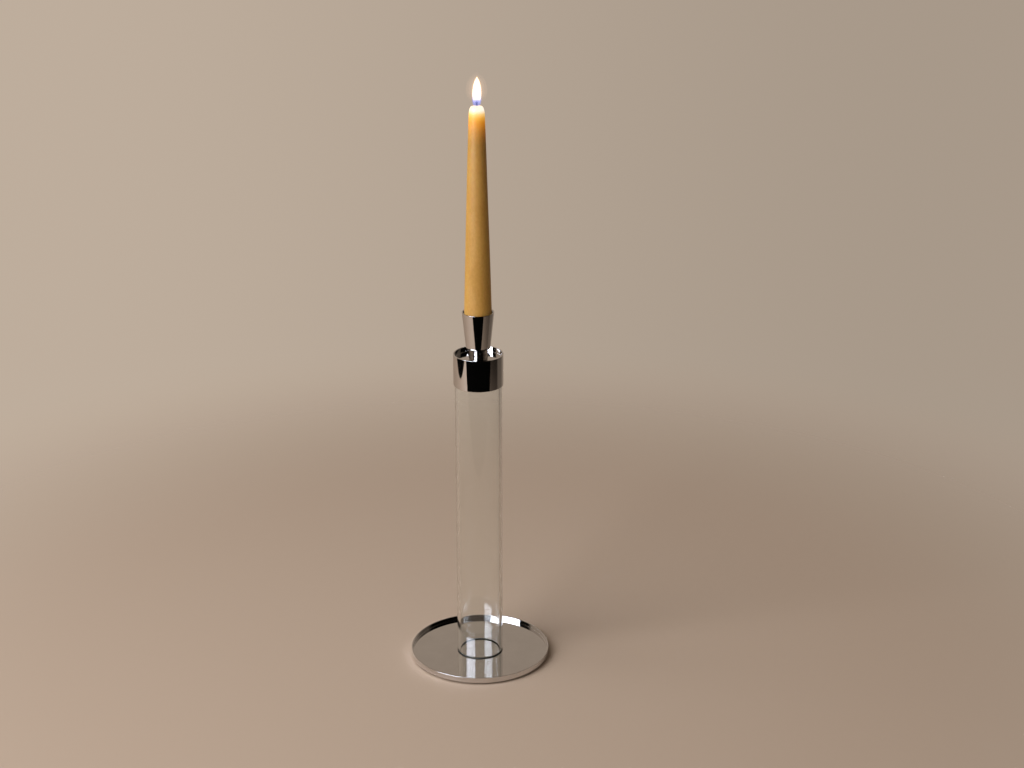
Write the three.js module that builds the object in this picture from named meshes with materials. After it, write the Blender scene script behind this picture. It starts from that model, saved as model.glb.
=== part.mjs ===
// Glass candlestick: a plain glass tube standing in a shallow round metal tray, with a metal cap
// that carries a conical candle cup. Millimetres, +Z up, origin under the middle of the tray.
import * as THREE from 'three';

// Tray and the pad under it
const TRAY_RADIUS = 60;
const PAD_HEIGHT = 1.4;
const TRAY_FLOOR = 2;
const TRAY_RECESS = 3.2;
const RIM_WALL = 1.2;
const PAD_OUTER = 57;
const PAD_INNER = 47;

// Glass tube and the soft rings at its two ends
const TUBE_RADIUS = 19.75;
const TUBE_WALL = 2.4;
const SEAT_RING_HEIGHT = 0.5;
const GASKET_HEIGHT = 1.2;
const RING_INSET = 0.3;

// Cap over the top of the tube
const CAP_RADIUS = 20.95;
const CAP_HEIGHT = 27;
const CAP_TOP = 278;
const CAP_RECESS = 4.4;
const CAP_WEB = 1.6;
const CAP_RIM_WALL = 1.2;
const SLIDING_GAP = 0.35;

// Candle cup: a narrow neck under a cone
const CONE_LIFT = 4.8;
const CONE_HEIGHT = 31.5;
const NECK_RADIUS = 8;
const CONE_FOOT_RADIUS = 10.2;
const MOUTH_RADIUS = 13.5;
const CUP_WALL = 1.2;
const CUP_FLOOR = 3.6;

// Screw that holds the cup to the cap
const SCREW_RADIUS = 1.9;
const SCREW_LENGTH = 11;
const SCREW_HEAD_RADIUS = 3.9;
const SCREW_HEAD_HEIGHT = 2.4;
const DRIVE_SOCKET_RADIUS = 1.5;
const DRIVE_SOCKET_DEPTH = 1.5;
const WASHER_RADIUS = 5.2;
const WASHER_HEIGHT = 1;

// Candle and wick
const CANDLE_RADIUS = 11.4;
const CANDLE_TOP_RADIUS = 6.5;
const CANDLE_BUTT = 19;
const CANDLE_BUTT_RADIUS = 9.7;
const CANDLE_SHOWING = 171;
const SHOULDER_HEIGHT = 7;
const SWELL = 0.35;
const SHOULDER_DROP = 1;
const MELT_LIP = 2;
const MELT_DISH_DEPTH = 1;
const WICK_RADIUS = 0.8;
const WICK_HEIGHT = 8;
const WICK_DEPTH = 12;

// Clearances and fineness
const SEAT_GAP = 0.1;
const LOOSE_GAP = 0.3;
const EDGE = 0.3;
const SEGMENTS = 64;
const SMALL_SEGMENTS = 32;
const CORNER_STEPS = 2;

// Heights that follow from the sizes above
const trayFloorTop = PAD_HEIGHT + TRAY_FLOOR;
const trayRimTop = trayFloorTop + TRAY_RECESS;
const tubeBottom = trayFloorTop + SEAT_RING_HEIGHT + SEAT_GAP;
const capRecessFloor = CAP_TOP - CAP_RECESS;
const capWebBottom = capRecessFloor - CAP_WEB;
const tubeTop = capWebBottom - GASKET_HEIGHT - SEAT_GAP;
const tubeBore = TUBE_RADIUS - TUBE_WALL;
const neckBottom = capRecessFloor + SEAT_GAP;
const coneBottom = CAP_TOP + CONE_LIFT;
const mouthTop = coneBottom + CONE_HEIGHT;
const candleBottom = mouthTop - CANDLE_BUTT;
const candleTop = mouthTop + CANDLE_SHOWING;
const wickHoleRadius = WICK_RADIUS + LOOSE_GAP;
const screwHeadTop = capWebBottom - WASHER_HEIGHT - 2 * SEAT_GAP;

const nickel = { color: 0xb9b4ab, roughness: 0.08, metalness: 1 };
const steel = { color: 0x9a9a98, roughness: 0.3, metalness: 1 };
const clearGlass = { color: 0xdfe6e2, roughness: 0.02, metalness: 0 };
const blackSilicone = { color: 0x17171a, roughness: 0.7, metalness: 0 };
const beeswax = { color: 0xc08a3c, roughness: 0.45, metalness: 0 };
const cotton = { color: 0x2a2522, roughness: 0.9, metalness: 0 };

const candlestick = new THREE.Group();

// Turns corners [radius, height, softness] into outline points; a soft corner becomes a short curve.
function outline(corners) {
  const at = (index) => new THREE.Vector2(...corners[(index + corners.length) % corners.length]);
  return corners.flatMap(([, , softness = 0], index) => {
    const corner = at(index);
    if (softness === 0) return [corner];
    const start = at(index - 1).sub(corner).setLength(softness).add(corner);
    const end = at(index + 1).sub(corner).setLength(softness).add(corner);
    return new THREE.QuadraticBezierCurve(start, corner, end).getPoints(CORNER_STEPS);
  });
}

// A solid of revolution about Z whose outline starts and ends on the axis.
function turnedSolid(points, segments = SEGMENTS) {
  return new THREE.LatheGeometry(points, segments).rotateX(Math.PI / 2);
}

// A ring about Z whose outline closes on itself, listed anticlockwise from its inner foot.
function turnedRing(corners, segments = SEGMENTS) {
  const points = outline(corners);
  return turnedSolid([...points, points[0].clone()], segments);
}

// A plain ring between two radii and two heights, its edges softened where softness is given.
function plainRing(inner, outer, bottom, top, softness = 0, segments = SEGMENTS) {
  const corners = [[inner, bottom], [outer, bottom], [outer, top], [inner, top]];
  return turnedRing(corners.map(([radius, height]) => [radius, height, softness]), segments);
}

function addPart(name, geometry, finish) {
  const mesh = new THREE.Mesh(geometry, new THREE.MeshStandardMaterial(finish));
  mesh.name = name;
  candlestick.add(mesh);
}

// Annular anti-slip pad that lifts the tray just off the table.
function footPad() {
  return plainRing(PAD_INNER, PAD_OUTER, 0, PAD_HEIGHT - SEAT_GAP);
}

// Shallow dish with a thin upright rim.
function baseTray() {
  const innerRadius = TRAY_RADIUS - RIM_WALL;
  const footSoftness = 0.9;
  const coveSoftness = 1.2;
  return turnedSolid(outline([
    [0, PAD_HEIGHT],
    [TRAY_RADIUS, PAD_HEIGHT, footSoftness],
    [TRAY_RADIUS, trayRimTop, RIM_WALL / 2],
    [innerRadius, trayRimTop, RIM_WALL / 2],
    [innerRadius, trayFloorTop, coveSoftness],
    [0, trayFloorTop],
  ]));
}

// Soft ring that the tube is bonded to the tray with.
function seatRing() {
  const bottom = trayFloorTop + SEAT_GAP / 2;
  return plainRing(
    tubeBore + RING_INSET, TUBE_RADIUS - RING_INSET,
    bottom, bottom + SEAT_RING_HEIGHT - SEAT_GAP / 2,
  );
}

function glassTube() {
  return plainRing(tubeBore, TUBE_RADIUS, tubeBottom, tubeTop, 2 * EDGE);
}

// Ring that cushions the cap on the end of the glass.
function capGasket() {
  return plainRing(
    tubeBore + RING_INSET, TUBE_RADIUS - RING_INSET,
    tubeTop + SEAT_GAP, tubeTop + GASKET_HEIGHT,
  );
}

// Cylindrical sleeve with a web near its top: the skirt goes over the tube, the recess holds the cup.
function cap() {
  const skirtBore = TUBE_RADIUS + SLIDING_GAP;
  const recessRadius = CAP_RADIUS - CAP_RIM_WALL;
  const screwHole = SCREW_RADIUS + LOOSE_GAP;
  const capBottom = CAP_TOP - CAP_HEIGHT;
  return turnedRing([
    [screwHole, capWebBottom],
    [skirtBore, capWebBottom],
    [skirtBore, capBottom, EDGE],
    [CAP_RADIUS, capBottom, EDGE],
    [CAP_RADIUS, CAP_TOP, CAP_RIM_WALL / 2],
    [recessRadius, CAP_TOP, CAP_RIM_WALL / 2],
    [recessRadius, capRecessFloor, 2 * EDGE],
    [screwHole, capRecessFloor],
  ]);
}

// Neck and cone in one piece: a conical socket above, a blind screw hole below.
function candleCup() {
  const holeRadius = SCREW_RADIUS + LOOSE_GAP;
  const holeTop = neckBottom + SCREW_LENGTH - CAP_WEB - WASHER_HEIGHT + 2 * LOOSE_GAP;
  const socketFloor = holeTop + CUP_FLOOR;
  const slope = (MOUTH_RADIUS - CONE_FOOT_RADIUS) / CONE_HEIGHT;
  const socketFloorRadius = CONE_FOOT_RADIUS - CUP_WALL + slope * (socketFloor - coneBottom);
  return turnedSolid(outline([
    [0, holeTop],
    [holeRadius, holeTop],
    [holeRadius, neckBottom],
    [NECK_RADIUS, neckBottom, EDGE],
    [NECK_RADIUS, coneBottom, EDGE],
    [CONE_FOOT_RADIUS, coneBottom, 2 * EDGE],
    [MOUTH_RADIUS, mouthTop, CUP_WALL / 2],
    [MOUTH_RADIUS - CUP_WALL, mouthTop, CUP_WALL / 2],
    [socketFloorRadius, socketFloor, 2 * EDGE],
    [0, socketFloor],
  ]));
}

// Flat washer between the screw head and the web of the cap.
function screwWasher() {
  const top = capWebBottom - SEAT_GAP;
  return plainRing(
    SCREW_RADIUS + LOOSE_GAP, WASHER_RADIUS, top - WASHER_HEIGHT, top, 0, SMALL_SEGMENTS,
  );
}

// Pan-head screw with a round driving socket in its head, which points down into the tube.
function cupScrew() {
  const headBottom = screwHeadTop - SCREW_HEAD_HEIGHT;
  const tip = screwHeadTop + SCREW_LENGTH;
  return turnedSolid(outline([
    [0, headBottom + DRIVE_SOCKET_DEPTH],
    [DRIVE_SOCKET_RADIUS, headBottom + DRIVE_SOCKET_DEPTH],
    [DRIVE_SOCKET_RADIUS, headBottom],
    [SCREW_HEAD_RADIUS, headBottom, 4 * EDGE],
    [SCREW_HEAD_RADIUS, screwHeadTop, EDGE],
    [SCREW_RADIUS, screwHeadTop],
    [SCREW_RADIUS, tip, 2 * EDGE],
    [0, tip],
  ]), SMALL_SEGMENTS);
}

// Tapered candle: conical butt in the socket, gently swelling shaft, rounded shoulder, melt dish.
function candle() {
  const shaftTop = candleTop - SHOULDER_HEIGHT;
  const shaftSteps = 5;
  const shaft = new THREE.QuadraticBezierCurve(
    new THREE.Vector2(CANDLE_RADIUS, mouthTop),
    new THREE.Vector2((CANDLE_RADIUS + CANDLE_TOP_RADIUS) / 2 + SWELL, (mouthTop + shaftTop) / 2),
    new THREE.Vector2(CANDLE_TOP_RADIUS, shaftTop),
  );
  const shoulder = new THREE.QuadraticBezierCurve(
    new THREE.Vector2(CANDLE_TOP_RADIUS, shaftTop),
    new THREE.Vector2(CANDLE_TOP_RADIUS - SWELL, candleTop - SHOULDER_DROP),
    new THREE.Vector2(CANDLE_TOP_RADIUS - MELT_LIP, candleTop),
  );
  const dish = new THREE.QuadraticBezierCurve(
    new THREE.Vector2(CANDLE_TOP_RADIUS - MELT_LIP, candleTop),
    new THREE.Vector2(CANDLE_TOP_RADIUS / 2, candleTop - MELT_DISH_DEPTH),
    new THREE.Vector2(wickHoleRadius, candleTop - MELT_DISH_DEPTH),
  );
  const butt = outline([
    [0, candleBottom],
    [CANDLE_BUTT_RADIUS, candleBottom, 4 * EDGE],
    [CANDLE_RADIUS, mouthTop],
  ]).slice(0, -1);
  const holeBottom = candleTop - MELT_DISH_DEPTH - WICK_DEPTH;
  return turnedSolid([
    ...butt,
    ...shaft.getPoints(shaftSteps),
    ...shoulder.getPoints(CORNER_STEPS).slice(1),
    ...dish.getPoints(CORNER_STEPS).slice(1),
    new THREE.Vector2(wickHoleRadius, holeBottom),
    new THREE.Vector2(0, holeBottom),
  ]);
}

// Cotton wick standing in its hole in the wax.
function wick() {
  const bottom = candleTop - MELT_DISH_DEPTH - WICK_DEPTH + LOOSE_GAP;
  const top = candleTop + WICK_HEIGHT;
  return turnedSolid(outline([
    [0, bottom],
    [WICK_RADIUS, bottom],
    [WICK_RADIUS, top, WICK_RADIUS / 2],
    [0, top],
  ]), SMALL_SEGMENTS);
}

addPart('foot_pad', footPad(), blackSilicone);
addPart('base_tray', baseTray(), nickel);
addPart('seat_ring', seatRing(), blackSilicone);
addPart('glass_tube', glassTube(), clearGlass);
addPart('cap_gasket', capGasket(), blackSilicone);
addPart('cap', cap(), nickel);
addPart('screw_washer', screwWasher(), steel);
addPart('cup_screw', cupScrew(), steel);
addPart('candle_cup', candleCup(), nickel);
addPart('candle', candle(), beeswax);
addPart('wick', wick(), cotton);

export default candlestick;
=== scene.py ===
import math

import bmesh
import bpy
from mathutils import Euler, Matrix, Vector, noise


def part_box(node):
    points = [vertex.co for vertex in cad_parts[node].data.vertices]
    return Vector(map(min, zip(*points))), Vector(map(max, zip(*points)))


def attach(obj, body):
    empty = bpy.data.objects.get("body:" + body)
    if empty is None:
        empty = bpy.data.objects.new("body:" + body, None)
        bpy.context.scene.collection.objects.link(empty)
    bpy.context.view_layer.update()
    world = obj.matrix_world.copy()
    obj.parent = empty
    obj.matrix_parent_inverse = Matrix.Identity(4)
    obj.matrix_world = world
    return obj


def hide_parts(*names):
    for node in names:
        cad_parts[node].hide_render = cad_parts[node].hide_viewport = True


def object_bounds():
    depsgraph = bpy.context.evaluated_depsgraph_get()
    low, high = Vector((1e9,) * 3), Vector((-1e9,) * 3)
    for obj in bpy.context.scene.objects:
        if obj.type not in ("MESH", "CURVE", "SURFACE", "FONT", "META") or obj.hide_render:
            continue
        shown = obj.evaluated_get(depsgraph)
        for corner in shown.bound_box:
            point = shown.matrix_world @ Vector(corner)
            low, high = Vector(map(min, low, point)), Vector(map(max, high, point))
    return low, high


# Glass candlestick with a lit beeswax candle: fine turned pieces and studio looks round the CAD frame
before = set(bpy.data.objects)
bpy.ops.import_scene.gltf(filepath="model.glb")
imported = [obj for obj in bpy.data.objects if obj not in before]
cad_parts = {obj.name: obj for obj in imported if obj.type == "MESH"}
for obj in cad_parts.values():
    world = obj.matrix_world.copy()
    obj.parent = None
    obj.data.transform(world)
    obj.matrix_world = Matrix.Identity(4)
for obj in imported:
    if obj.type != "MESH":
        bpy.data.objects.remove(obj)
cad_low, cad_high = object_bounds()

MM = 0.001
SEGMENTS = 192
CANDLE_SEGMENTS = 96
FLAME_SEGMENTS = 48
ARC_STEPS = 6

# Walls and small steps of the design that a node's box doesn't tell, in metres
RIM_WALL = 1.2 * MM
RIM_EDGE = 0.2 * MM
TRAY_FLOOR = 2 * MM
PAD_INNER = 47 * MM
TUBE_WALL = 2.4 * MM
RING_INSET = 0.3 * MM
CAP_WEB = 1.6 * MM
CAP_RECESS = 4.4 * MM
SLIDING_GAP = 0.35 * MM
SCREW_HOLE = 2.2 * MM
NECK_RADIUS = 8 * MM
NECK_HEIGHT = 9.1 * MM
CONE_FOOT_RADIUS = 10.2 * MM
CUP_WALL = 1.2 * MM
CUP_FLOOR = 3.6 * MM
SOCKET_DEPTH = 28 * MM
CANDLE_BUTT = 19 * MM
CANDLE_BUTT_RADIUS = 9.7 * MM
CANDLE_TOP_RADIUS = 6.5 * MM
SWELL = 0.35 * MM
SHOULDER_HEIGHT = 7 * MM
SHOULDER_DROP = 1 * MM
MELT_LIP = 2 * MM
MELT_DISH_DEPTH = 1 * MM
MELT_DISH_SLOPE = 1.6 * MM
WICK_DEPTH = 12 * MM
WICK_PLAY = 0.3 * MM

FLAME_HEIGHT = 23 * MM
FLAME_WIDTH = 7.8 * MM
FLAME_LEAN = 0.35 * MM
FLAME_CLEARANCE = 0.2 * MM
VEIL_DEPTH = 0.3 * MM

# The surroundings: distances in metres, angles in degrees
BACKGROUND = (0.452, 0.369, 0.294)
FLOOR_TONE = (0.60, 0.49, 0.405)
FLOOR_EDGE = 3.0
FLOOR_SIDES = 96
TABLE_FRONT = -0.43
TABLE_LEFT = -0.73
MIRRORED_FLOOR_SHIFT = -0.5
WINDOW_AZIMUTH = 51
WINDOW_ELEVATION = 27
WINDOW_SIZE = (1.6, 1.46)
CAMERA_LENS = 67.24
CAMERA_PLACE = (0, -1.5, 0.8015)
CAMERA_PITCH = 20.16
CAMERA_YAW = 1.07


# ---------------------------------------------------------------- shapes

def linked(name, data):
    """A scene object that holds the given mesh, light or camera data."""
    made = bpy.data.objects.new(name, data)
    bpy.context.collection.objects.link(made)
    return made


def piece_of(name, mesh):
    """A scene object with the shape of a bmesh, which is used up."""
    data = bpy.data.meshes.new(name)
    mesh.to_mesh(data)
    mesh.free()
    return linked(name, data)


def low_high(node):
    """The node's outer radius, lowest height and highest height."""
    low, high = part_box(node)
    return high[0], low[2], high[2]


def rounded(corners, steps=ARC_STEPS):
    """Outline points from corners (radius, height, softness); a soft corner becomes an arc of points."""
    points = []
    count = len(corners)
    for index, corner in enumerate(corners):
        at = Vector(corner[:2])
        softness = corner[2] if len(corner) > 2 else 0
        if not softness:
            points.append(at)
            continue
        before = (Vector(corners[index - 1][:2]) - at).normalized()
        after = (Vector(corners[(index + 1) % count][:2]) - at).normalized()
        half = before.angle(after) / 2
        centre = at + (before + after).normalized() * (softness / math.cos(half))
        start = at + before * softness - centre
        end = at + after * softness - centre
        turn = start.angle_signed(end)
        for step in range(steps + 1):
            angle = -turn * step / steps
            spoke = Vector((
                start.x * math.cos(angle) - start.y * math.sin(angle),
                start.x * math.sin(angle) + start.y * math.cos(angle),
            ))
            points.append(centre + spoke)
    return points


def bezier(start, pull, end, steps):
    """Points of a quadratic curve, without its first one."""
    start, pull, end = Vector(start), Vector(pull), Vector(end)
    return [
        start * (1 - t) ** 2 + pull * 2 * t * (1 - t) + end * t * t
        for t in (step / steps for step in range(1, steps + 1))
    ]


def turned(name, points, segments=SEGMENTS, closed=False, sharp=40):
    """A solid of revolution about Z; points on the axis become poles, a closed outline makes a ring.

    Edges that turn more than the angle sharp, in degrees, stay crisp.
    """
    on_axis = 0.0001 * MM
    mesh = bmesh.new()
    rings = []
    for point in points:
        if point[0] < on_axis:
            rings.append([mesh.verts.new((0, 0, point[1]))])
            continue
        rings.append([
            mesh.verts.new((
                point[0] * math.cos(2 * math.pi * i / segments),
                point[0] * math.sin(2 * math.pi * i / segments),
                point[1],
            ))
            for i in range(segments)
        ])
    pairs = list(zip(rings, rings[1:]))
    if closed:
        pairs.append((rings[-1], rings[0]))
    for low, high in pairs:
        for i in range(segments):
            j = (i + 1) % segments
            around = [low[i % len(low)], low[j % len(low)], high[j % len(high)], high[i % len(high)]]
            corners = [v for k, v in enumerate(around) if v is not around[k - 1]]
            if len(corners) > 2:
                mesh.faces.new(corners)
    bmesh.ops.remove_doubles(mesh, verts=mesh.verts, dist=on_axis)
    bmesh.ops.recalc_face_normals(mesh, faces=mesh.faces)
    for face in mesh.faces:
        face.smooth = True
    for edge in mesh.edges:
        if len(edge.link_faces) == 2:
            edge.smooth = edge.calc_face_angle() < math.radians(sharp)
    piece = piece_of(name, mesh)
    weights = piece.modifiers.new("even_normals", "WEIGHTED_NORMAL")
    weights.keep_sharp = True
    weights.weight = 100
    return piece


def base_tray():
    """Flat dish with a thin upright rim and soft edges."""
    radius, bottom, top = low_high("base_tray")
    dish_floor = bottom + TRAY_FLOOR
    inner = radius - RIM_WALL
    foot_edge, floor_edge = 0.9 * MM, 0.5 * MM
    return turned("tray_dish", rounded([
        (0, bottom),
        (radius, bottom, foot_edge),
        (radius, top, RIM_EDGE),
        (inner, top, RIM_EDGE),
        (inner, dish_floor, floor_edge),
        (0, dish_floor),
    ]))


def plain_ring(name, node, inner, softness):
    """Ring of rectangular section, as high and wide as its node, with softened edges."""
    radius, bottom, top = low_high(node)
    corners = [(inner, bottom), (radius, bottom), (radius, top), (inner, top)]
    return turned(name, rounded([(r, z, softness) for r, z in corners]), closed=True)


def foot_pad():
    return plain_ring("pad_ring", "foot_pad", PAD_INNER, 0.25 * MM)


def seal(name, node):
    """Soft ring at an end of the glass, a little narrower than its wall on both sides."""
    width = TUBE_WALL - 2 * RING_INSET
    return plain_ring(name, node, low_high(node)[0] - width, 0.2 * MM)


def glass_tube():
    inner = low_high("glass_tube")[0] - TUBE_WALL
    return plain_ring("glass_cylinder", "glass_tube", inner, 0.6 * MM)


def cap():
    """Sleeve with a holed web across it; above the web is the recess, below it the bore over the glass."""
    radius, bottom, top = low_high("cap")
    recess_floor = top - CAP_RECESS
    web = recess_floor - CAP_WEB
    bore = low_high("glass_tube")[0] + SLIDING_GAP
    recess = radius - RIM_WALL
    edge = 0.25 * MM
    return turned("cap_sleeve", rounded([
        (SCREW_HOLE, web, edge / 2),
        (bore, web, edge),
        (bore, bottom, edge),
        (radius, bottom, edge),
        (radius, top, RIM_EDGE),
        (recess, top, RIM_EDGE),
        (recess, recess_floor, edge * 2),
        (SCREW_HOLE, recess_floor, edge / 2),
    ]), closed=True)


def candle_cup():
    """Neck and cone, with the candle's socket in the top and a blind screw hole in the foot."""
    mouth, bottom, top = low_high("candle_cup")
    cone_bottom = bottom + NECK_HEIGHT
    slope = (mouth - CONE_FOOT_RADIUS) / (top - cone_bottom)
    socket_floor = top - SOCKET_DEPTH
    socket_floor_radius = CONE_FOOT_RADIUS - CUP_WALL + slope * (socket_floor - cone_bottom)
    hole_top = socket_floor - CUP_FLOOR
    edge = 0.3 * MM
    return turned("cup_cone", rounded([
        (0, hole_top),
        (SCREW_HOLE, hole_top),
        (SCREW_HOLE, bottom, edge / 2),
        (NECK_RADIUS, bottom, edge),
        (NECK_RADIUS, cone_bottom, edge * 2),
        (CONE_FOOT_RADIUS, cone_bottom, edge * 3),
        (mouth, top, RIM_EDGE),
        (mouth - CUP_WALL, top, RIM_EDGE),
        (socket_floor_radius, socket_floor, edge * 2),
        (0, socket_floor),
    ]))


def candle_points():
    """Outline of the candle: butt in the cup, swelling taper, soft shoulder and the dish round the wick."""
    radius, bottom, top = low_high("candle")
    mouth = bottom + CANDLE_BUTT
    shaft_top = top - SHOULDER_HEIGHT
    butt_edge = 1.2 * MM
    hole = low_high("wick")[0] + WICK_PLAY
    dish = top - MELT_DISH_DEPTH
    middle = ((radius + CANDLE_TOP_RADIUS) / 2 + SWELL, (mouth + shaft_top) / 2)
    lip = CANDLE_TOP_RADIUS - MELT_LIP
    shoulder = (CANDLE_TOP_RADIUS - SWELL, top - SHOULDER_DROP)
    return [
        *rounded([(0, bottom), (CANDLE_BUTT_RADIUS, bottom, butt_edge), (radius, mouth)]),
        *bezier((radius, mouth), middle, (CANDLE_TOP_RADIUS, shaft_top), 60),
        *bezier((CANDLE_TOP_RADIUS, shaft_top), shoulder, (lip, top), 10),
        *bezier((lip, top), (lip - MELT_DISH_SLOPE, dish), (hole, dish), 8),
        Vector((hole, dish - WICK_DEPTH)),
        Vector((0, dish - WICK_DEPTH)),
    ]


def candle():
    """Dipped candle: turned, then made a little uneven as a hand-dipped one is."""
    piece = turned("candle_shaft", candle_points(), segments=CANDLE_SEGMENTS)
    even_to = low_high("candle")[1] + CANDLE_BUTT + 2 * MM
    even_within = 3 * MM
    fade_length = 20 * MM
    unevenness = 0.12 * MM
    waves_across, waves_along = 60, 22
    for vertex in piece.data.vertices:
        flat = Vector((vertex.co.x, vertex.co.y))
        if flat.length < even_within or vertex.co.z < even_to:
            continue
        where = Vector((vertex.co.x * waves_across, vertex.co.y * waves_across, vertex.co.z * waves_along))
        fade = min(1, (vertex.co.z - even_to) / fade_length)
        flat = flat.normalized() * (flat.length + noise.noise(where) * unevenness * fade)
        vertex.co.x, vertex.co.y = flat
    return piece


def wick():
    """Braided wick whose bare end bends a little and thins at the tip."""
    radius, bottom, top = low_high("wick")
    strands, steps, sides = 3, 60, 10
    turns_per_metre = 260
    strand_out, strand_radius = radius * 0.42, radius * 0.56
    bend_from, bend = 0.7, 0.7 * MM
    tip_from, tip_thinning = 0.93, 0.35
    mesh = bmesh.new()
    for strand in range(strands):
        rings = []
        for step in range(steps + 1):
            share = step / steps
            z = bottom + (top - bottom) * share
            angle = 2 * math.pi * (strand / strands + turns_per_metre * (z - bottom))
            bent = max(0, share - bend_from) / (1 - bend_from)
            thinned = max(0, share - tip_from) / (1 - tip_from)
            centre = Vector((
                math.cos(angle) * strand_out + bent ** 2 * bend,
                math.sin(angle) * strand_out,
                z,
            ))
            size = strand_radius * (1 - tip_thinning * thinned)
            rings.append([
                mesh.verts.new(centre + Vector((
                    math.cos(2 * math.pi * i / sides) * size, math.sin(2 * math.pi * i / sides) * size, 0,
                )))
                for i in range(sides)
            ])
        for low, high in zip(rings, rings[1:]):
            for i in range(sides):
                j = (i + 1) % sides
                mesh.faces.new((low[i], low[j], high[j], high[i]))
        mesh.faces.new(list(reversed(rings[0])))
        mesh.faces.new(rings[-1])
    for face in mesh.faces:
        face.smooth = len(face.verts) == 4
    return piece_of("wick_braid", mesh)


def spindle(width, height, foot):
    """Outline of a flame: a broad round foot, widest just below the middle, drawn to a point."""
    def at(out, up):
        return Vector((out * width / 2, foot + up * height))

    points = [at(0, 0)]
    for pull, end, steps in (
        ((0.74, 0), (0.80, 0.12), 8),
        ((1.02, 0.32), (0.98, 0.50), 10),
        ((0.90, 0.72), (0.46, 0.88), 10),
        ((0.20, 0.96), (0.06, 0.998), 6),
    ):
        points += bezier(points[-1], at(*pull), at(*end), steps)
    return [*points, at(0, 1)]


def flame(name, width, height, foot):
    """One shell of the flame, which leans a little towards its tip."""
    piece = turned(name, spindle(width, height, foot), segments=FLAME_SEGMENTS, sharp=180)
    for vertex in piece.data.vertices:
        vertex.co.x += FLAME_LEAN * (vertex.co.z - foot) / height
    return piece


def glow_shells(name, *sizes):
    """Faint upright shells round the flame, each of a width, height and foot, joined as one piece."""
    mesh = bmesh.new()
    for size in sizes:
        shell = turned(name + "_shell", spindle(*size), segments=FLAME_SEGMENTS, sharp=180)
        mesh.from_mesh(shell.data)
        bpy.data.objects.remove(shell)
    return piece_of(name, mesh)


# ---------------------------------------------------------------- materials

class NodeTree:
    """Short-hands for the node tree of a material or of the world."""

    def __init__(self, tree):
        self.nodes = tree.nodes
        self.links = tree.links

    def node(self, kind, **values):
        """A new node; each value goes to its property or to its input of that name."""
        made = self.nodes.new(kind)
        for key, value in values.items():
            if hasattr(made, key):
                setattr(made, key, value)
            else:
                made.inputs[key.replace("_", " ")].default_value = value
        return made

    def link(self, source, target):
        self.links.new(source, target)

    def ranged(self, value, low, high, to_low, to_high, smooth=False):
        made = self.node("ShaderNodeMapRange")
        if smooth:
            made.interpolation_type = "SMOOTHSTEP"
        for socket, number in zip(("From Min", "From Max", "To Min", "To Max"), (low, high, to_low, to_high)):
            made.inputs[socket].default_value = number
        self.link(value, made.inputs["Value"])
        return made.outputs["Result"]

    def product(self, first, second):
        made = self.node("ShaderNodeMath", operation="MULTIPLY")
        self.link(first, made.inputs[0])
        self.link(second, made.inputs[1])
        return made.outputs["Value"]

    def shaders_mixed(self, share, first, second):
        made = self.node("ShaderNodeMixShader")
        for socket, source in zip(made.inputs, (share, first, second)):
            self.link(source, socket)
        return made.outputs["Shader"]


class Finish(NodeTree):
    """A procedural material under construction: its node tree, its Principled shader and short-hands."""

    def __init__(self, name, **sockets):
        self.material = bpy.data.materials.new(name)
        self.material.use_nodes = True
        super().__init__(self.material.node_tree)
        self.shader = self.nodes["Principled BSDF"]
        for socket, value in sockets.items():
            self.shader.inputs[socket.replace("_", " ")].default_value = value
        self.place = self.nodes.new("ShaderNodeTexCoord").outputs["Object"]

    def surface(self, output):
        """Shows this shader instead of the Principled one alone."""
        self.link(output, self.nodes["Material Output"].inputs["Surface"])

    def stretched(self, x, y, z):
        """Object coordinates scaled on each axis; a small scale draws a texture out along it."""
        mapping = self.node("ShaderNodeMapping", Scale=(x, y, z))
        self.link(self.place, mapping.inputs["Vector"])
        return mapping.outputs["Vector"]

    def noise(self, vector, scale, detail=4.0, roughness=0.5):
        made = self.node("ShaderNodeTexNoise", Scale=scale, Detail=detail, Roughness=roughness)
        self.link(vector, made.inputs["Vector"])
        return made.outputs["Fac"]

    def ramp(self, value, *stops):
        """A colour for a value, from stops (position, colour)."""
        made = self.node("ShaderNodeValToRGB")
        elements = made.color_ramp.elements
        while len(elements) < len(stops):
            elements.new(0.5)
        for element, (position, colour) in zip(elements, stops):
            element.position = position
            element.color = (*colour, 1)
        self.link(value, made.inputs["Fac"])
        return made.outputs["Color"]

    def mixed(self, share, first, second):
        """A colour part way from the first to the second; share and second may be constants."""
        made = self.node("ShaderNodeMix", data_type="RGBA")
        colour_a, colour_b = (socket for socket in made.inputs if socket.type == "RGBA")
        self.link(first, colour_a)
        if isinstance(share, float):
            made.inputs["Factor"].default_value = share
        else:
            self.link(share, made.inputs["Factor"])
        if isinstance(second, tuple):
            colour_b.default_value = (*second, 1)
        else:
            self.link(second, colour_b)
        return next(socket for socket in made.outputs if socket.type == "RGBA")

    def height(self):
        split = self.node("ShaderNodeSeparateXYZ")
        self.link(self.place, split.inputs["Vector"])
        return split.outputs["Z"]

    def bump(self, value, strength, distance, under=None):
        made = self.node("ShaderNodeBump", Strength=strength, Distance=distance)
        self.link(value, made.inputs["Height"])
        if under is not None:
            self.link(under, made.inputs["Normal"])
        return made.outputs["Normal"]

    def set(self, socket, source):
        self.link(source, self.shader.inputs[socket])


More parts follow.
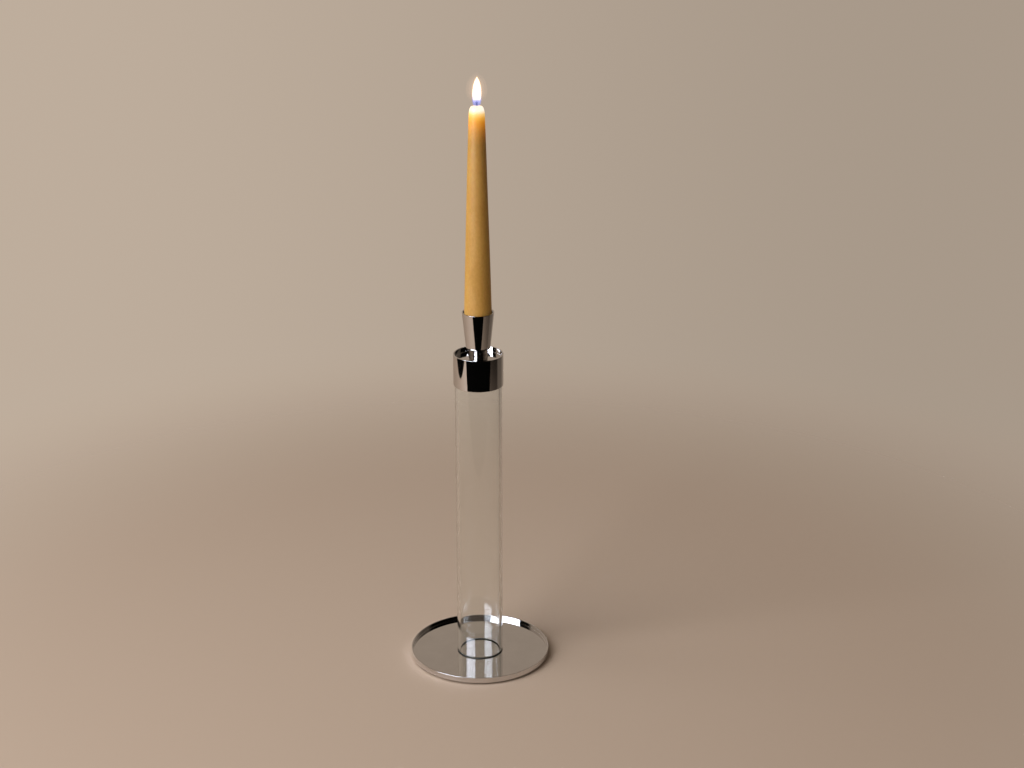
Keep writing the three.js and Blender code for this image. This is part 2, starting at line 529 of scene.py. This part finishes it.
def polished_nickel(name, ring_marks):
    """Mirror nickel plate: faint wipe marks in the gloss and hair-fine polishing marks."""
    finish = Finish(name, Metallic=1.0, Roughness=0.05)
    smudge = finish.noise(finish.place, 55, 6, 0.62)
    tone = finish.ramp(smudge, (0.3, (0.675, 0.655, 0.645)), (0.7, (0.72, 0.70, 0.69)))
    finish.set("Base Color", tone)
    finish.set("Roughness", finish.ranged(smudge, 0.42, 0.75, 0.022, 0.065))
    marks = finish.noise(finish.stretched(*ring_marks), 30, 3, 0.7)
    finish.set("Normal", finish.bump(marks, 0.02, 0.00002))
    return finish.material


def clear_glass():
    """Drawn glass tube: barely tinted, with faint finger bloom in its gloss."""
    finish = Finish(
        "clear_glass", Transmission_Weight=1.0, IOR=1.47, Roughness=0.0,
        Base_Color=(0.985, 0.995, 0.988, 1),
    )
    bloom = finish.noise(finish.stretched(1, 1, 0.5), 38, 5, 0.6)
    finish.set("Roughness", finish.ranged(bloom, 0.55, 0.8, 0.0, 0.035))
    drawn = finish.noise(finish.stretched(60, 60, 2.5), 3, 2, 0.5)
    finish.set("Normal", finish.bump(drawn, 0.03, 0.00005))
    return finish.material


def black_rubber():
    """Dull black rubber with a fine grain."""
    finish = Finish("black_pad", Specular_IOR_Level=0.4)
    grain = finish.noise(finish.place, 900, 4, 0.6)
    finish.set("Base Color", finish.ramp(grain, (0.3, (0.008, 0.008, 0.009)), (0.8, (0.028, 0.027, 0.027))))
    finish.set("Roughness", finish.ranged(grain, 0.3, 0.7, 0.67, 0.85))
    finish.set("Normal", finish.bump(grain, 0.3, 0.00006))
    return finish.material


def smoky_silicone():
    """Grey-green silicone, a little see-through, with a fine grain."""
    finish = Finish("smoky_silicone", Specular_IOR_Level=0.45, Transmission_Weight=0.35, IOR=1.41)
    grain = finish.noise(finish.place, 700, 4, 0.6)
    finish.set("Base Color", finish.ramp(grain, (0.3, (0.085, 0.095, 0.083)), (0.8, (0.14, 0.15, 0.135))))
    finish.set("Roughness", finish.ranged(grain, 0.3, 0.7, 0.35, 0.5))
    finish.set("Normal", finish.bump(grain, 0.2, 0.00004))
    return finish.material


def zinc_steel():
    """Plated steel with fine turning marks."""
    finish = Finish("zinc_steel", Metallic=1.0)
    turned_marks = finish.noise(finish.stretched(6, 6, 300), 6, 4, 0.6)
    finish.set("Base Color", finish.ramp(turned_marks, (0.3, (0.42, 0.42, 0.41)), (0.7, (0.62, 0.62, 0.6))))
    finish.set("Roughness", finish.ranged(turned_marks, 0.3, 0.7, 0.22, 0.38))
    finish.set("Normal", finish.bump(turned_marks, 0.15, 0.00004))
    return finish.material


def beeswax():
    """Ochre wax: cloudy bloom and dip marks below, and a painted glow in its top, as if lit through by the
    flame.
    """
    top = low_high("candle")[2]
    lit_depth = 30 * MM
    finish = Finish(
        "beeswax", Subsurface_Weight=0.3, Subsurface_Scale=3 * MM, Specular_IOR_Level=0.42,
        Subsurface_Radius=(1.0, 0.45, 0.12), Emission_Strength=1.0,
    )
    cloud = finish.noise(finish.stretched(1, 1, 0.35), 70, 6, 0.6)
    fine = finish.noise(finish.stretched(1, 1, 0.6), 620, 3, 0.6)
    dips = finish.noise(finish.stretched(0.4, 0.4, 3), 60, 3, 0.5)
    body = finish.ramp(cloud, (0.28, (0.60, 0.325, 0.065)), (0.72, (0.74, 0.445, 0.110)))
    speck = finish.ramp(fine, (0.35, (0.54, 0.28, 0.06)), (0.62, (0.78, 0.49, 0.155)))
    wax = finish.mixed(0.25, body, speck)
    # Painted glow: near the top of the candle the wax colour deepens and gives off orange to white light, as
    # if lit through by the flame
    glow = finish.ranged(finish.height(), top - lit_depth, top, 0, 1)
    flame_lit_wax = finish.mixed(finish.ranged(glow, 0.5, 1.0, 0, 1, smooth=True), wax, (0.68, 0.36, 0.06))
    finish.set("Base Color", flame_lit_wax)
    finish.set("Roughness", finish.ranged(cloud, 0.3, 0.7, 0.36, 0.5))
    light = finish.ramp(
        glow, (0.0, (0, 0, 0)), (0.17, (0.06, 0.011, 0.0)), (0.36, (0.17, 0.042, 0.0)),
        (0.48, (0.29, 0.085, 0.0)), (0.60, (0.43, 0.135, 0.0)), (0.72, (0.60, 0.28, 0.03)),
        (0.82, (0.80, 0.52, 0.18)), (0.92, (1.0, 0.90, 0.78)),
    )
    finish.set("Emission Color", light)
    dip_bump = finish.bump(dips, 0.25, 0.0005)
    finish.set("Normal", finish.bump(fine, 0.12, 0.00008, under=dip_bump))
    return finish.material


def charred_cotton():
    """Black fibre that glows at its tip, and has a painted glow at its foot, as if lit through by the melted
    wax.
    """
    wax_top, wick_top = low_high("candle")[2], low_high("wick")[2]
    ember_length = 2.2 * MM
    foot_glow_from, foot_glow_to = 0.2 * MM, 1.6 * MM
    finish = Finish("charred_cotton", Roughness=0.9, Emission_Strength=1.2)
    fibre = finish.noise(finish.stretched(1, 1, 0.2), 2600, 3, 0.6)
    finish.set("Base Color", finish.ramp(fibre, (0.3, (0.006, 0.005, 0.006)), (0.7, (0.035, 0.028, 0.026))))
    ember = finish.ranged(finish.height(), wick_top - ember_length, wick_top, 0, 1, smooth=True)
    embers = finish.ramp(ember, (0.0, (0.001, 0.002, 0.012)), (0.9, (1.0, 0.36, 0.06)))
    # Painted glow: just above the wax the wick's foot gives off pale light, as if lit through by the melted
    # wax
    foot_glow = finish.ranged(finish.height(), wax_top + foot_glow_from, wax_top + foot_glow_to, 1, 0, smooth=True)
    finish.set("Emission Color", finish.mixed(foot_glow, embers, (1.0, 0.86, 0.58)))
    finish.set("Normal", finish.bump(fibre, 0.5, 0.0001))
    return finish.material


def fire(name, foot, height, strength, colours, covers):
    """Light whose colour and cover, the share of it that isn't see-through, change up the flame."""
    finish = Finish(name)
    finish.nodes.remove(finish.shader)
    share = finish.ranged(finish.height(), foot, foot + height, 0, 1)
    glow = finish.node("ShaderNodeEmission", Strength=strength)
    finish.link(finish.ramp(share, *colours), glow.inputs["Color"])
    clear = finish.node("ShaderNodeBsdfTransparent")
    cover = finish.ramp(share, *[(at, (value, value, value)) for at, value in covers])
    finish.surface(finish.shaders_mixed(cover, clear.outputs["BSDF"], glow.outputs["Emission"]))
    return finish.material


# ---------------------------------------------------------------- dressing the frame

def dress(piece, material, slot, body, *nodes):
    """Gives a piece its material and puts it on its body in place of CAD nodes; slot is not used."""
    piece.data.materials.append(material)
    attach(piece, body)
    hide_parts(*nodes)


def light_flame():
    """Bright core, thin coloured veil and faint glow over the wick, which all ride on the candle."""
    foot = low_high("candle")[2] + FLAME_CLEARANCE
    core = flame("flame_core", FLAME_WIDTH * 0.88, FLAME_HEIGHT, foot + VEIL_DEPTH)
    core.data.materials.append(fire(
        "flame_core_light", foot, FLAME_HEIGHT, 2.2,
        [(0.05, (0.03, 0.05, 0.32)), (0.16, (0.26, 0.30, 0.74)), (0.28, (0.75, 0.70, 0.90)),
         (0.42, (1.0, 0.95, 0.84)), (0.96, (1.0, 0.88, 0.66))],
        [(0.05, 0.14), (0.16, 0.24), (0.30, 0.9), (0.38, 1.0), (0.9, 1.0), (1.0, 0.9)],
    ))
    veil = flame("flame_veil", FLAME_WIDTH * 1.08, FLAME_HEIGHT * 1.05, foot)
    veil.data.materials.append(fire(
        "flame_veil_light", foot, FLAME_HEIGHT, 1.3,
        [(0.0, (0.34, 0.38, 0.85)), (0.2, (0.30, 0.34, 0.85)), (0.4, (1.0, 0.62, 0.36)),
         (1.0, (1.0, 0.56, 0.28))],
        [(0.0, 0.22), (0.2, 0.20), (0.4, 0.20), (0.95, 0.22)],
    ))
    glow = glow_shells(
        "flame_glow",
        (9.4 * MM, FLAME_HEIGHT * 0.86, foot + 4 * MM),
        (12.8 * MM, FLAME_HEIGHT * 0.92, foot + 4 * MM),
        (17 * MM, FLAME_HEIGHT * 1.02, foot + 3.5 * MM),
    )
    glow.data.materials.append(fire(
        "flame_glow_light", foot, FLAME_HEIGHT * 1.2, 1.25,
        [(0.0, (1.0, 0.66, 0.44)), (1.0, (1.0, 0.70, 0.50))],
        [(0.12, 0.0), (0.35, 0.035), (0.75, 0.035), (1.0, 0.012)],
    ))
    for piece in (core, veil, glow):
        piece.visible_shadow = False
        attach(piece, "candle_set")


nickel_tray = polished_nickel("polished_nickel_tray", (1, 1, 1))
nickel_turned = polished_nickel("polished_nickel_turned", (4, 4, 260))
silicone = smoky_silicone()
steel = zinc_steel()

dress(base_tray(), nickel_tray, "polished_nickel", "stand", "base_tray")
dress(glass_tube(), clear_glass(), "clear_glass", "stand", "glass_tube")
dress(foot_pad(), black_rubber(), "black_pad", "stand", "foot_pad")
dress(seal("seat_seal", "seat_ring"), silicone, "black_silicone", "stand", "seat_ring")
dress(seal("cap_seal", "cap_gasket"), silicone, "black_silicone", "top", "cap_gasket")
dress(cap(), nickel_turned, "polished_nickel", "top", "cap")
dress(candle_cup(), nickel_turned, "polished_nickel", "top", "candle_cup")
dress(candle(), beeswax(), "beeswax", "candle_set", "candle")
dress(wick(), charred_cotton(), "charred_cotton", "candle_set", "wick")
light_flame()

# The screw and its washer show as their CAD solids
for node in ("screw_washer", "cup_screw"):
    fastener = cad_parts[node]
    fastener.data.materials.clear()
    fastener.data.materials.append(steel)


# ---------------------------------------------------------------- stage

def card(name, corners, height):
    """Flat face of the surroundings, level until it is turned."""
    data = bpy.data.meshes.new(name)
    data.from_pydata([(x, y, height) for x, y in corners], [], [tuple(range(len(corners)))])
    made = linked(name, data)
    return made


def unseen_by(made, *rays):
    for ray in rays:
        setattr(made, f"visible_{ray}", False)


def only_mirrored(made):
    unseen_by(made, "camera", "diffuse", "transmission", "shadow", "volume_scatter")


def floor(name, height, solid_to, clear_from):
    """Round pale floor that melts into the background between two distances from its middle."""
    turn = 2 * math.pi / FLOOR_SIDES
    made = card(name, [
        (FLOOR_EDGE * math.cos(i * turn), FLOOR_EDGE * math.sin(i * turn)) for i in range(FLOOR_SIDES)
    ], height)
    finish = Finish(name, Base_Color=(*FLOOR_TONE, 1), Roughness=0.7, Specular_IOR_Level=0.06)
    distance = finish.node("ShaderNodeVectorMath", operation="LENGTH")
    finish.link(finish.place, distance.inputs[0])
    share = finish.ranged(distance.outputs["Value"], solid_to, clear_from, 0, 1, smooth=True)
    clear = finish.node("ShaderNodeBsdfTransparent")
    finish.surface(finish.shaders_mixed(share, finish.shader.outputs["BSDF"], clear.outputs["BSDF"]))
    made.data.materials.append(finish.material)
    return made


def dark_room():
    """Black cards beyond the front and left edges of a table: painted shade standing in for the shaded room,
    which only the polished metal mirrors.
    """
    far = FLOOR_EDGE
    finish = Finish("shaded_room_card", Base_Color=(0.002, 0.002, 0.002, 1), Roughness=1.0, Specular_IOR_Level=0)
    for name, corners in (
        ("dark_front", [(-far, -far), (far, -far), (far, TABLE_FRONT), (-far, TABLE_FRONT)]),
        ("dark_left", [(-far, TABLE_FRONT), (TABLE_LEFT, TABLE_FRONT), (TABLE_LEFT, far), (-far, far)]),
    ):
        made = card(name, corners, MM)
        made.data.materials.append(finish.material)
        only_mirrored(made)


def studio():
    """World: background for the eye with painted light, brighter on the left and darker on the right, soft
    fill for the floor, and a lit wall for the metal to mirror.
    """
    world = bpy.data.worlds.new("studio")
    bpy.context.scene.world = world
    world.use_nodes = True
    tree = NodeTree(world.node_tree)
    direction = tree.node("ShaderNodeTexCoord").outputs["Generated"]
    split = tree.node("ShaderNodeSeparateXYZ")
    tree.link(direction, split.inputs["Vector"])
    x, y, z = split.outputs
    path = tree.node("ShaderNodeLightPath")

    def after_bounce(depth, unbounced, bounced):
        """The unbounced strength, or the bounced one once a ray has a bounce of that kind behind it."""
        test = tree.node("ShaderNodeMath", operation="GREATER_THAN")
        test.inputs[1].default_value = 0.5
        tree.link(path.outputs[depth], test.inputs[0])
        made = tree.node("ShaderNodeMix", data_type="FLOAT")
        for socket, source in (("Factor", test.outputs["Value"]), ("A", unbounced), ("B", bounced)):
            tree.link(source, made.inputs[socket])
        return made.outputs["Result"]

    wall = tree.ranged(y, 0.04, 0.22, 0.012, 0.93, smooth=True)
    sideways = tree.ranged(x, -0.8, 0.9, 1.1, 0.72, smooth=True)
    upward = tree.ranged(z, 0.35, 0.95, 1.0, 0.12, smooth=True)
    dark_side = tree.ranged(x, 0.45, 0.8, 1.0, 0.33, smooth=True)
    mirror = tree.product(tree.product(tree.product(wall, sideways), upward), dark_side)
    # Painted light on the background the eye sees: brighter towards the left, darker towards the right
    unbounced = tree.ranged(x, -0.25, 0.25, 1.14, 0.86, smooth=True)
    fill = tree.ranged(x, -0.7, 0.7, 0.84, 0.22, smooth=True)
    background = tree.nodes["Background"]
    background.inputs["Color"].default_value = (*BACKGROUND, 1)
    mirrored = after_bounce("Glossy Depth", unbounced, mirror)
    tree.link(after_bounce("Diffuse Depth", mirrored, fill), background.inputs["Strength"])


def aim(made, azimuth, elevation, distance):
    """Places a light or card round the object, facing its middle; azimuth turns from front to left."""
    a, e = math.radians(azimuth), math.radians(elevation)
    outward = Vector((-math.sin(a) * math.cos(e), -math.cos(a) * math.cos(e), math.sin(e)))
    made.location = (cad_low + cad_high) / 2 + outward * distance
    made.rotation_mode = "QUATERNION"
    made.rotation_quaternion = outward.to_track_quat("Z", "Y")


def softbox(name, azimuth, elevation, distance, size, energy, colour):
    """Rectangular area light that the camera doesn't see."""
    data = bpy.data.lights.new(name, "AREA")
    data.shape = "RECTANGLE"
    data.size, data.size_y = size
    data.energy = energy
    data.color = colour
    made = linked(name, data)
    aim(made, azimuth, elevation, distance)
    made.visible_camera = False
    return made


def window(distance, strength, colour):
    """Bright cool card before the key light, which only gloss and glass show."""
    width, height = WINDOW_SIZE
    x, y = width / 2, height / 2
    made = card("window", [(-x, -y), (x, -y), (x, y), (-x, y)], 0)
    aim(made, WINDOW_AZIMUTH, WINDOW_ELEVATION, distance)
    finish = Finish("window")
    finish.nodes.remove(finish.shader)
    glow = finish.node("ShaderNodeEmission", Strength=strength, Color=(*colour, 1))
    finish.surface(glow.outputs["Emission"])
    made.data.materials.append(finish.material)
    unseen_by(made, "camera", "diffuse", "shadow", "volume_scatter")


def camera():
    """The photograph's view: from the front, a little above the object and looking down on it."""
    data = bpy.data.cameras.new("camera")
    data.sensor_width = 36
    data.lens = CAMERA_LENS
    data.clip_start, data.clip_end = 0.05, 30
    made = linked("camera", data)
    made.location = CAMERA_PLACE
    made.rotation_euler = Euler((math.pi / 2 - math.radians(CAMERA_PITCH), 0, -math.radians(CAMERA_YAW)))
    bpy.context.scene.camera = made


# The eye sees one floor and the metal mirrors another, which reaches further
unseen_by(floor("floor", height=0, solid_to=0.34, clear_from=0.85), "glossy")
mirrored_floor = floor("mirrored_floor", height=0.05 * MM, solid_to=0.45, clear_from=1.5)
mirrored_floor.location.x = MIRRORED_FLOOR_SHIFT
only_mirrored(mirrored_floor)
dark_room()
studio()
softbox(
    "key", WINDOW_AZIMUTH, WINDOW_ELEVATION, distance=2.0, size=WINDOW_SIZE, energy=27,
    colour=(1.0, 0.97, 0.94),
)
window(distance=1.98, strength=9.5, colour=(0.78, 0.85, 1.0))
unseen_by(softbox(
    "top", azimuth=80, elevation=62, distance=2.0, size=(1.1, 1.1), energy=9, colour=(1.0, 0.98, 0.95),
), "glossy")
camera()
bpy.context.scene.view_settings.view_transform = "Standard"
